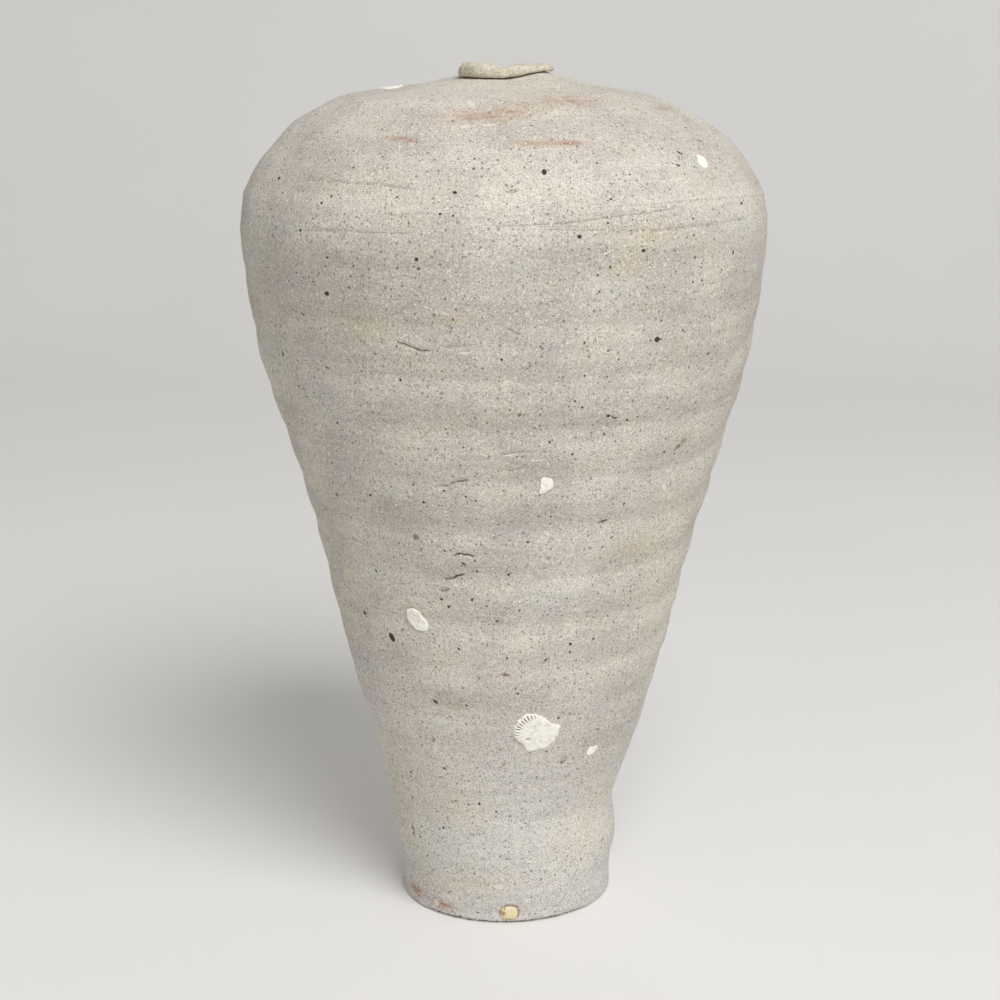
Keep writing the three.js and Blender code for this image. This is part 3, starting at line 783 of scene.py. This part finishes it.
def clay_grain(g, tint):
    """Fine dark and light grain, a little warmer here and cooler there."""
    coarse = g.step(g.noise(1.2, 2, 5), 0.3, 0.7, 0.94, 1.06)
    fine = g.step(g.noise(0.42, 1.5, 6), 0.3, 0.7, 0.78, 1.24)
    hues = g.vector("MULTIPLY_ADD", {0: g.cloud(1.2, 1, 7), 1: (0.08, 0.06, 0.12), 2: (0.96, 0.97, 0.94)})
    return g.shade(g.vector("MULTIPLY", {0: tint, 1: hues}), g.times(coarse, fine))


def clay_stains_and_painted_light(g, tint):
    """The stains, and the cream patch of painted light, whose places are stored on the mesh, each broken up
    by noise.
    """
    for number, (key, (patch_colour, most)) in enumerate(STAIN_AND_LIGHT_COLOURS.items()):
        broken = g.step(g.noise((6, 6, 0.9), 3, 10 + number), 0.3, 0.65, 0.25, 1)
        share = g.times(g.times(g.mark(key), broken), most)
        tint = g.mix(share, tint, patch_colour)
    return tint


def clay_material():
    g = Graph("stoneware", roughness=0.92, specular=0.2)
    tint = clay_grain(g, clay_stains_and_painted_light(g, clay_patches_and_painted_light(g)))
    # Dark lines from the marks on the mesh: the cracks and cuts, and the painted shadow along the foot's
    # bottom edge.
    wandering = g.math("ADD", g.mark("line_side"), g.times(g.noise(1.6, 2, 8), 0.5))
    side = g.math("ABSOLUTE", g.math("SUBTRACT", wandering, 0.25))
    broken = g.step(g.noise(2.4, 2, 14), 0.38, 0.58, 0.5, 1)
    line = g.times(g.step(side, 0.06, 0.36, 1, 0), g.mark("line_dark"))
    line = g.times(line, broken)
    tint = g.mix(line, tint, LINE_BROWN)
    ragged = g.ragged(0.5, 0.5)
    # Scattered specks: cell, radius, how many cells have one, shift, colour and strength.
    layers = (
        (0.9, 0.24, 0.6, 20, DUST_SPECK, 0.75),
        (1.6, 0.36, 0.55, 21, GREY_SPECK, 0.6),
        (1.4, 0.32, 0.65, 22, WHITE_SPECK, 0.85),
        (3, 0.38, 0.3, 23, IRON_SPECK, 0.85),
    )
    for cell, radius, chance, shift, speck, most in layers:
        inside = g.specks(cell, radius, chance, shift, g.ragged(0.6, 0.35 / cell))
        tint = g.mix(g.times(inside, most), tint, speck)
    patchy = g.step(g.noise(0.8, 2, 15), 0.4, 0.6, 0.25, 0.9)
    placed = (("brown", BROWN_SPECK, patchy), ("white", WHITE_SPECK, 0.9), ("iron", IRON_SPECK, 0.95))
    for key, speck, most in placed:
        tint = g.mix(g.times(g.placed_specks(key, ragged), most), tint, speck)
    height = g.times(g.noise(0.5, 2, 30), 0.1)
    height = g.math("ADD", height, g.times(g.noise(1.6, 3, 31), 0.16))
    height = g.math("SUBTRACT", height, g.times(line, 0.15))
    return g.finish(tint, height)


def rim_material():
    g = Graph("rim_clay", roughness=0.9, specular=0.2)
    tint = g.mix(g.step(g.noise(3, 3, 1), 0.35, 0.65), RIM_CLAY, RIM_SHADE)
    tint = clay_grain(g, tint)
    inside = g.specks(1.3, 0.2, 0.7, 24, g.ragged(0.6, 0.25))
    tint = g.mix(g.times(inside, 0.6), tint, GREY_SPECK)
    height = g.times(g.noise(0.9, 3, 30), 0.25)
    return g.finish(tint, height)


def lime_material(name, bright, dull):
    g = Graph(name, roughness=0.8, specular=0.3)
    tint = g.mix(g.step(g.noise(1.6, 3, 1), 0.42, 0.7), bright, dull)
    grain = g.step(g.noise(0.4, 1, 6), 0.3, 0.7, 0.94, 1.05)
    tint = g.mix(g.times(g.mark("pit"), 0.85), g.shade(tint, grain), BROWN_SPECK)
    height = g.times(g.noise(0.6, 3, 30), 0.12)
    return g.finish(tint, height)


def pebble_material():
    g = Graph("pebble", roughness=0.75, specular=0.35)
    brown = g.math("MAXIMUM", g.step(g.noise(1.4, 3, 1), 0.6, 0.72), g.mark("pit"))
    tint = g.mix(brown, PEBBLE_CREAM, PEBBLE_BROWN)
    height = g.times(g.noise(0.7, 3, 30), 0.3)
    return g.finish(tint, height)


# The clay's skin and the sections cut from it.

INSIDE_STEP = 8
UNDER_RINGS = 24
UNDER_RELIEF = 0.35
UNDER_BUMP_SIZE = 9
CROWN_THICK_FROM = 0.35


def row_paths(low, high):
    """Rows from one seam to the next, closer where lines cross them."""
    walk = np.linspace(low, high, ROW_SAMPLES)
    fine = np.zeros(walk.shape)
    for start, end in FINE_ZONES:
        inside = smoothstep(walk, start - ZONE_EASE, start) * (1 - smoothstep(walk, end, end + ZONE_EASE))
        fine = np.maximum(fine, inside)
    step = ROW_STEP + (FINE_STEP - ROW_STEP) * fine
    gone = np.concatenate([[0], np.cumsum(np.diff(walk) * (1 / step[1:] + 1 / step[:-1]) / 2)])
    return np.interp(np.linspace(0, gone[-1], math.ceil(gone[-1]) + 1), gone, walk)


def grid_normals(points):
    """Normals of a grid of rows round the jar."""
    return unit(np.cross(neighbours_apart(points, 1), np.gradient(points, axis=0)))


class Skin:
    """The clay's whole outside, as rows of points with what is stored on them."""

    def __init__(self, seams):
        parts = [row_paths(low, high) for low, high in zip(seams, seams[1:])]
        self.paths = np.unique(np.concatenate(parts))
        self.angles = angles_round(COLUMNS)
        angle, path = np.meshgrid(self.angles, self.paths)
        self.points, base, side, dark = clay_surface(angle, path)
        self.points[0, :, 2] = FOOT_UNEVENNESS * np.abs(bumps(base[0] / FOOT_BUMP_SIZE))
        self.normals = grid_normals(self.points)
        self.marks = {"line_side": side, "line_dark": dark}
        z, radius = base[..., 2], np.hypot(base[..., 0], base[..., 1])
        for key, marks in STAINS_AND_PAINTED_LIGHT.items():
            self.marks[key] = patch_strength(angle, z, radius, marks)
        for key, marks in SPECKS.items():
            self.marks[key] = speck_offset(angle, z, radius, marks)

    def section(self, low, high):
        """The rows between two seams: their points, and what is stored on their mesh."""
        rows = slice(np.searchsorted(self.paths, low - 1e-6), np.searchsorted(self.paths, high + 1e-6))
        points = self.points[rows]
        marks = {key: m[rows].reshape((-1,) + m.shape[2:]) for key, m in self.marks.items()}
        seam_normals = (len(points), self.normals[rows][0], self.normals[rows][-1])
        return points, {"marks": marks, "seam_normals": seam_normals}


def add_wall(skin, node, low, high, material):
    points, details = skin.section(low, high)
    heights = np.linspace(high, low, max(2, round((high - low) / INSIDE_STEP) + 1))
    inside = [on_ring(hollow_radius(z), skin.angles, z) for z in heights]
    rings = np.concatenate([points, inside])
    add_piece(node, "clay", "stoneware", material, rings, **details)


def add_base(skin, material):
    """The slab that the jar stands on, with its underside drawn in from the worn edge."""
    points, details = skin.section(0, BASE_TOP)
    under = []
    for share in np.linspace(1, 0, UNDER_RINGS)[1:-1]:
        ring = points[0] * share
        ring[:, 2] = UNDER_RELIEF * np.abs(bumps(ring / UNDER_BUMP_SIZE)) * smoothstep(1 - share, 0, 0.05)
        under.append(ring)
    top = [on_ring(hollow_radius(BASE_TOP) * share, skin.angles, BASE_TOP) for share in (1, 0.5, 0.05)]
    rings = np.concatenate([under[::-1], points, top])
    caps = ((0, 0, 0.2), (0, 0, BASE_TOP))
    details = {"marks": details["marks"], "unmarked": len(under) * COLUMNS}
    add_piece("base_slab", "clay", "stoneware", material, rings, caps=caps, **details)


def add_crown(skin, material):
    points, details = skin.section(SHOULDER, PATH_END)
    inside = []
    for share in (1, 0.86, 0.72, 0.6, 0.48, 0.36, 0.24, 0.12, 0):
        rise = (soft_line(CROWN_LEFT, share) + soft_line(CROWN_RIGHT, share)) / 2
        under = CROWN_THICKNESS * smoothstep(share, 0, CROWN_THICK_FROM)
        edge = hollow_radius(SHOULDER)
        radius = edge + (NECK_HOLE_RADIUS - edge) * share
        inside.append(on_ring(radius, skin.angles, SHOULDER + max(0.0, CROWN_RISE * rise - under)))
    rings = np.concatenate([points, inside])
    add_piece("shoulder_crown", "clay", "stoneware", material, rings, **details)


# The neck and the rim.

RIM_SIDES = 288
RIM_WAVE = 0.4
BORE_RELIEF = 0.3
BORE_BUMP_SIZES = (5, 5, 2.5)


def rounded(rings, times):
    """Cuts the corners of a closed profile, which leaves a smooth one."""
    for _ in range(times):
        after = np.roll(rings, -1, axis=0)
        rings = np.stack([0.75 * rings + 0.25 * after, 0.25 * rings + 0.75 * after], axis=1)
        rings = rings.reshape((-1,) + rings.shape[2:])
    return rings


def add_neck(material):
    angle = angles_round(RIM_SIDES)
    rings = [on_ring(NECK_RADIUS, angle, z) for z in np.linspace(NECK_BOTTOM, CROWN_TOP, 6)]
    for z in np.linspace(CROWN_TOP, NECK_BOTTOM, 22):
        wobble = BORE_RELIEF * bumps(on_ring(MOUTH_RADIUS, angle, z) / np.array(BORE_BUMP_SIZES))
        rings.append(on_ring(MOUTH_RADIUS + BORE_RELIEF + wobble, angle, z))
    add_piece("neck_tube", "clay", "stoneware", material, np.stack(rings))


def add_rim(material):
    """The clay strip folded out over the neck: seated on it, rounded over, with a hem over the crown."""
    angle = angles_round(RIM_SIDES)
    out = RIM_RADIUS + RIM_WAVE * np.sin(3 * angle + 1)
    dip = RIM_JOIN_DEPTH * hump(turn_between(angle, RIM_JOIN_ANGLE) / RIM_JOIN_HALF)
    thickened = (RIM_HEIGHT - RIM_THIN_HEIGHT) * lobe_share(angle)
    crest = CROWN_TOP + RIM_THIN_HEIGHT + thickened - dip - RIM_BACK_DROP * at_back(angle)

    def clay_under(radius):
        edge = wall_radius(angle, SHOULDER)
        share = np.minimum((edge - radius) / (edge - NECK_HOLE_RADIUS), 1)
        return SHOULDER + crown_height(angle, share) + SEAT_GAP

    hem = clay_under(out)
    tall = crest - hem
    lip = NECK_HOLE_RADIUS + RIM_LIP
    # Up from the seat on the neck, out under the hem, over the crest and down the mouth.
    profile = (
        (NECK_RADIUS - SEAT_GAP, CROWN_TOP),
        (NECK_RADIUS - SEAT_GAP / 2, np.maximum(CROWN_TOP, clay_under(NECK_HOLE_RADIUS))),
        (lip, np.maximum(CROWN_TOP, clay_under(lip)) + SEAT_GAP),
        (out - 1.2, hem),
        (out - 0.1, hem + 0.04 * tall),
        (out + 0.25, hem + 0.3 * tall),
        (out - 0.2, hem + 0.65 * tall),
        (out - 1.1, hem + 0.9 * tall),
        (out - 2.2, crest),
        (MOUTH_RADIUS + 0.9, crest - dip),
        (MOUTH_RADIUS, crest - dip - 0.9),
        (MOUTH_RADIUS, CROWN_TOP),
    )
    rings = rounded(np.stack([on_ring(radius, angle, z) for radius, z in profile]), RIM_SMOOTHINGS)
    outward = unit(np.cross(neighbours_apart(rings, 1), neighbours_apart(rings, 0)))
    height = sum(amount * bumps(rings / size) for amount, size in RIM_RELIEF) - RIM_SINK
    rings = rings + outward * height[..., None]
    add_piece("mouth_rim", "clay", "rim_clay", material, rings)


# What the sea left on the clay. A crust's rings lie at shares of its outline, first under it, then over it.

CRUST_SIDES = 320
CRUST_UNDER = (0.1, 0.5, 0.9)
CRUST_TOP = np.concatenate([np.linspace(0.06, 0.86, 14), np.linspace(0.9, 1, 6)])[::-1]
CRUST_SUNK = 0.35
CRUST_ROOT = 1.1
CRUST_RAGGEDNESS = 0.05
RIB_COUNT = 38
RIB_HEIGHT = 0.2
RIB_ZONE = (4.4, 5.6)
BOWL_DEPTH = 0.2
BOWL_ZONE = (2.5, 5)
GAP_DARKNESS = 0.8
GAP_ZONE = (4.9, 5.5)
GAP_EDGE = (0.82, 0.92)
PIT_DEPTH = 0.35
EDGE_SMOOTHINGS = 2

CRUSTS = {
    "barnacle_base_large": {
        "at": (-77.98, 67.3),
        "thick": 0.75,
        "edge": (
            (-7.54, 1.33), (-6.62, 3.93), (-5.24, 5.82), (-3.36, 7.23), (-0.82, 6.89), (1.48, 5.93),
            (2.73, 4.63), (4.64, 2.74), (7.78, 1.92), (7.56, -0.33), (7.34, -2), (5.46, -5.03),
            (3.78, -6.7), (1.91, -6.7), (-0.63, -7.18), (-1.68, -7.88), (-3.56, -6.48), (-3.56, -5.03),
            (-5.67, -3.63), (-7.24, -1.26),
        ),
        "pit": (-2.6, -2.2, 0.75, 0.4),
    },
    "barnacle_base_left": {
        "at": (-118.03, 103.6),
        "thick": 0.65,
        "edge": (
            (-3.5, 3.22), (-2.2, 3.64), (-0.3, 3.77), (1.1, 2.98), (1.6, 1.68), (2.1, 0.89), (3.3, 0.1),
            (3.6, -1.23), (3.4, -2.68), (2, -3.46), (0.6, -3.6), (-0.5, -3.33), (-2.1, -1.89),
            (-3.7, -0.17), (-3.5, 1.68),
        ),
    },
    "shell_scar_middle": {
        "at": (-80.1, 147.7),
        "thick": 0.5,
        "edge": ((-1.7, 3), (1.85, 2.3), (2.5, 0.3), (1, -1.4), (-2.3, -2.7), (-1.7, 0.3)),
    },
    "shell_scar_right": {
        "at": (-50.7, 57.1),
        "thick": 0.5,
        "edge": (
            (-1.66, 0.62), (-1.16, 1.5), (0.3, 1.06), (2.05, 1.5), (2.28, 0.4), (1.04, -0.93),
            (-0.7, -1.78), (-2.4, -1.34),
        ),
    },
    "shell_scar_upper_left": {
        "at": (-145.4, 156.5),
        "thick": 0.3,
        "edge": (
            (-0.7, 2.3), (-2.3, 1.4), (-1.35, -0.07), (0.9, -2.4), (2.35, -1.5), (2, 0.27), (0.9, 1.5),
        ),
    },
    "lime_scar_crown_right": {
        "at": (-39, 236.3),
        "thick": 0.4,
        "edge": (
            (-0.87, 2.77), (0.78, 1.62), (2.36, 1.1), (2.47, -0.35), (1.52, -2.17), (0.14, -2.69),
            (-1.06, -2.2), (-2, -1.09), (-1.5, 1.15),
        ),
    },
    "lime_scar_crown_left": {
        "at": (-173, 255.1),
        "thick": 0.35,
        "edge": (
            (-3.8, 2.6), (-1.2, 3.9), (2.4, 3.4), (4, 1.2), (3.6, -1.6), (1, -3.8), (-2.2, -3.9),
            (-4, -1.4),
        ),
    },
}


def smooth_edge(corners, sides):
    """A closed outline through rounded corners, as evenly spaced points from its middle."""
    edge = rounded(np.array(corners, float)[:, None, :], EDGE_SMOOTHINGS)[:, 0, :]
    closed = np.concatenate([edge, edge[:1]])
    gone = np.concatenate([[0], np.cumsum(np.hypot(*np.diff(closed, axis=0).T))])
    even = np.linspace(0, gone[-1], sides, endpoint=False)
    return np.stack([np.interp(even, gone, column) for column in closed.T], axis=-1)


def rib_wave(x, y):
    return np.cos(RIB_COUNT * np.arctan2(y, x))


def crust_height(x, y, share, thick, ribbed):
    """How far a crust stands off the clay, over its own plane."""
    flat = np.stack([x, y, np.full(x.shape, thick * 40)], axis=-1)
    top = thick * (0.8 + 0.2 * bumps(flat / 1.3)) + 0.06 * bumps(flat / 0.5)
    if ribbed:
        away = np.hypot(x, y)
        upper_left = 0.2 + 0.8 * smoothstep(y - x, 1, 6)
        ribs = RIB_HEIGHT * rib_wave(x, y) * smoothstep(away, *RIB_ZONE) * upper_left
        bowl = BOWL_DEPTH * (1 - smoothstep(away, *BOWL_ZONE))
        top = top + ribs - bowl
    falling = smoothstep(share, 0.88, 1)
    return top * (1 - falling) - CRUST_SUNK * falling


def crust_pits(x, y, share, pit):
    """How far a ribbed crust is pitted, from 0 to 1: at one brown pit, and between the ribs at its edge."""
    px, py, wide, high = pit
    pitted = hump((x - px) / wide) * hump((y - py) / high)
    gaps = smoothstep(-rib_wave(x, y), 0, 0.8) * smoothstep(np.hypot(x, y), *GAP_ZONE)
    gaps = GAP_DARKNESS * gaps * smoothstep(y - x, 3, 7.5) * (1 - smoothstep(share, *GAP_EDGE))
    return np.maximum(pitted, gaps)


def add_crust(node, facts, material):
    """A crust grown on the clay: a thin cake with an uneven top and a broken edge, rooted in the clay."""
    angle, path = place_of(*facts["at"])
    around, upward = clay_slopes(np.array(angle), np.array(path))
    per_turn, per_step = np.linalg.norm(around), np.linalg.norm(upward)
    edge = smooth_edge(facts["edge"], CRUST_SIDES)
    ragged = np.column_stack([edge, np.full(CRUST_SIDES, angle * 30)])
    edge = edge * (1 + CRUST_RAGGEDNESS * bumps(ragged / 0.9))[:, None]
    share = np.concatenate([CRUST_UNDER, CRUST_TOP])[:, None]
    x, y = share * edge[:, 0], share * edge[:, 1]
    lift = crust_height(x, y, share, facts["thick"], "pit" in facts)
    lift[: len(CRUST_UNDER)] = -CRUST_ROOT
    rings = clay_surface(angle + x / per_turn, path + y / per_step, lift)[0]
    ends = np.array([-CRUST_ROOT, lift[-1, 0]])
    middle = clay_surface(np.full(2, angle), np.full(2, path), ends)[0]
    pits = np.zeros(x.shape)
    if "pit" in facts:
        pits = crust_pits(x, y, share, facts["pit"])
        rings = rings - unit(np.cross(around, upward)) * (PIT_DEPTH * pits)[..., None]
    marks = {"pit": pits.ravel()}
    add_piece(node, "lime", "lime", material, rings, caps=middle, marks=marks)


PEBBLE_SIDES = 72
PEBBLE_ANGLE = -1.53
PEBBLE_HEIGHT = 3.6
PEBBLE_RADIUS = 2.8
PEBBLE_FLATNESS = 0.8
PEBBLE_SUNK = 1.6
PEBBLE_SQUARENESS = 0.75
PEBBLE_RELIEF = ((0.09, 1.7), (0.03, 5))


def add_pebble(material):
    """A pebble fired into the foot's edge, rounded and uneven."""
    turn = np.linspace(0, 2 * math.pi, PEBBLE_SIDES, endpoint=False)
    tilt = np.linspace(-math.pi / 2, math.pi / 2, PEBBLE_SIDES // 2)[1:-1, None]
    stone = on_ring(np.cos(tilt), turn[None, :], np.sin(tilt))
    poles = np.array([[0, 0, -1.0], [0, 0, 1.0]])
    middle = wall_radius(np.array(PEBBLE_ANGLE), np.array(PEBBLE_HEIGHT)) - PEBBLE_SUNK
    centre = on_ring(middle, PEBBLE_ANGLE, PEBBLE_HEIGHT)
    toward = on_ring(1.0, PEBBLE_ANGLE, 0.0)
    beside = on_ring(1.0, PEBBLE_ANGLE + math.pi / 2, 0.0)

    def placed(points):
        square = np.sum(points**4, axis=-1) ** -0.25
        uneven = 1 + sum(amount * bumps(points * often) for amount, often in PEBBLE_RELIEF)
        size = PEBBLE_RADIUS * (1 - PEBBLE_SQUARENESS + PEBBLE_SQUARENESS * square) * uneven
        shaped = points * size[..., None]
        out = shaped[..., :1] * PEBBLE_FLATNESS * toward
        across = shaped[..., 1:2] * beside
        up = shaped[..., 2:] * PEBBLE_FLATNESS * np.array([0, 0, 1.0])
        return centre + out + across + up

    pit = hump((stone[..., 1] + 0.55) / 0.18) * hump((stone[..., 2] - 0.1) / 0.22)
    marks = {"pit": pit.ravel()}
    add_piece("foot_pebble", "stone", "pebble", material, placed(stone), caps=placed(poles), marks=marks)


# The stage: floor, light and camera.


def floor_material():
    g = Graph("floor", roughness=0.85, specular=0.2)
    tint = g.mix(g.noise(180, 2, 1), colour(236, 235, 233), colour(241, 240, 238))
    return g.finish(tint, g.times(g.noise(1.2, 2, 2), 0.02))


def add_floor():
    """A pale floor that sweeps up into a backdrop behind the jar."""
    front, back, half, bend, top = -1800, 900, 2600, 500, 2400
    turn = np.linspace(0, math.pi / 2, 24)
    ys = np.concatenate([[front], back + bend * np.sin(turn), [back + bend]])
    zs = np.concatenate([[0], bend * (1 - np.cos(turn)), [top]])
    points = [(x, y, z) for y, z in zip(ys, zs) for x in (-half, half)]
    faces = [[2 * i, 2 * i + 1, 2 * i + 3, 2 * i + 2] for i in range(len(ys) - 1)]
    mesh = smooth_mesh("floor", points, faces)
    mesh.materials.append(floor_material())
    floor = new_object("floor", mesh)


LAMP_PLACE = (0.542, -1.18, 1.592)
LAMP_AIM = (0, 0, 0.15)
LAMP_SIZE = 1.2
LAMP_ENERGY = 28
ROOM_TINT = (1, 0.99, 0.965, 1)
ROOM_STRENGTH = 0.38


def add_light():
    """One large soft lamp, up at the front right, in a pale room."""
    lamp = bpy.data.lights.new("key", "AREA")
    lamp.shape = "DISK"
    lamp.size = LAMP_SIZE
    lamp.energy = LAMP_ENERGY
    piece = new_object("key", lamp)
    piece.location = LAMP_PLACE
    toward = np.array(LAMP_AIM) - np.array(LAMP_PLACE)
    tilt = math.atan2(math.hypot(toward[0], toward[1]), -toward[2])
    piece.rotation_euler = (tilt, 0, math.atan2(-toward[0], toward[1]))
    world = bpy.data.worlds.new("room")
    world.use_nodes = True
    background = world.node_tree.nodes["Background"]
    background.inputs["Color"].default_value = ROOM_TINT
    background.inputs["Strength"].default_value = ROOM_STRENGTH
    bpy.context.scene.world = world


CAMERA_PLACE = (-0.0015, -0.598, 0.273)
CAMERA_PITCH = 13.62
CAMERA_LENS = 70.55
SENSOR_WIDTH = 36


def add_camera():
    camera = bpy.data.cameras.new("camera")
    camera.lens = CAMERA_LENS
    camera.sensor_width = SENSOR_WIDTH
    piece = new_object("camera", camera)
    piece.location = CAMERA_PLACE
    piece.rotation_euler = (math.radians(90 - CAMERA_PITCH), 0, 0)
    bpy.context.scene.camera = piece


def build():
    clay = clay_material()
    lime = lime_material("lime", LIME_WHITE, LIME_CREAM)
    shell = lime_material("worn_lime", SHELL_BEIGE, GREY_CLAY)
    skin = Skin((0, BASE_TOP, WAIST, MIDDLE_SEAM, SHOULDER, PATH_END))
    add_base(skin, clay)
    add_wall(skin, "foot_wall", BASE_TOP, WAIST, clay)
    add_wall(skin, "lower_wall", WAIST, MIDDLE_SEAM, clay)
    add_wall(skin, "upper_wall", MIDDLE_SEAM, SHOULDER, clay)
    add_crown(skin, clay)
    add_neck(clay)
    add_rim(rim_material())
    for node, facts in CRUSTS.items():
        add_crust(node, facts, shell if node == "shell_scar_upper_left" else lime)
    add_pebble(pebble_material())
    add_floor()
    add_light()
    add_camera()
    bpy.context.scene.view_settings.view_transform = "Standard"


build()
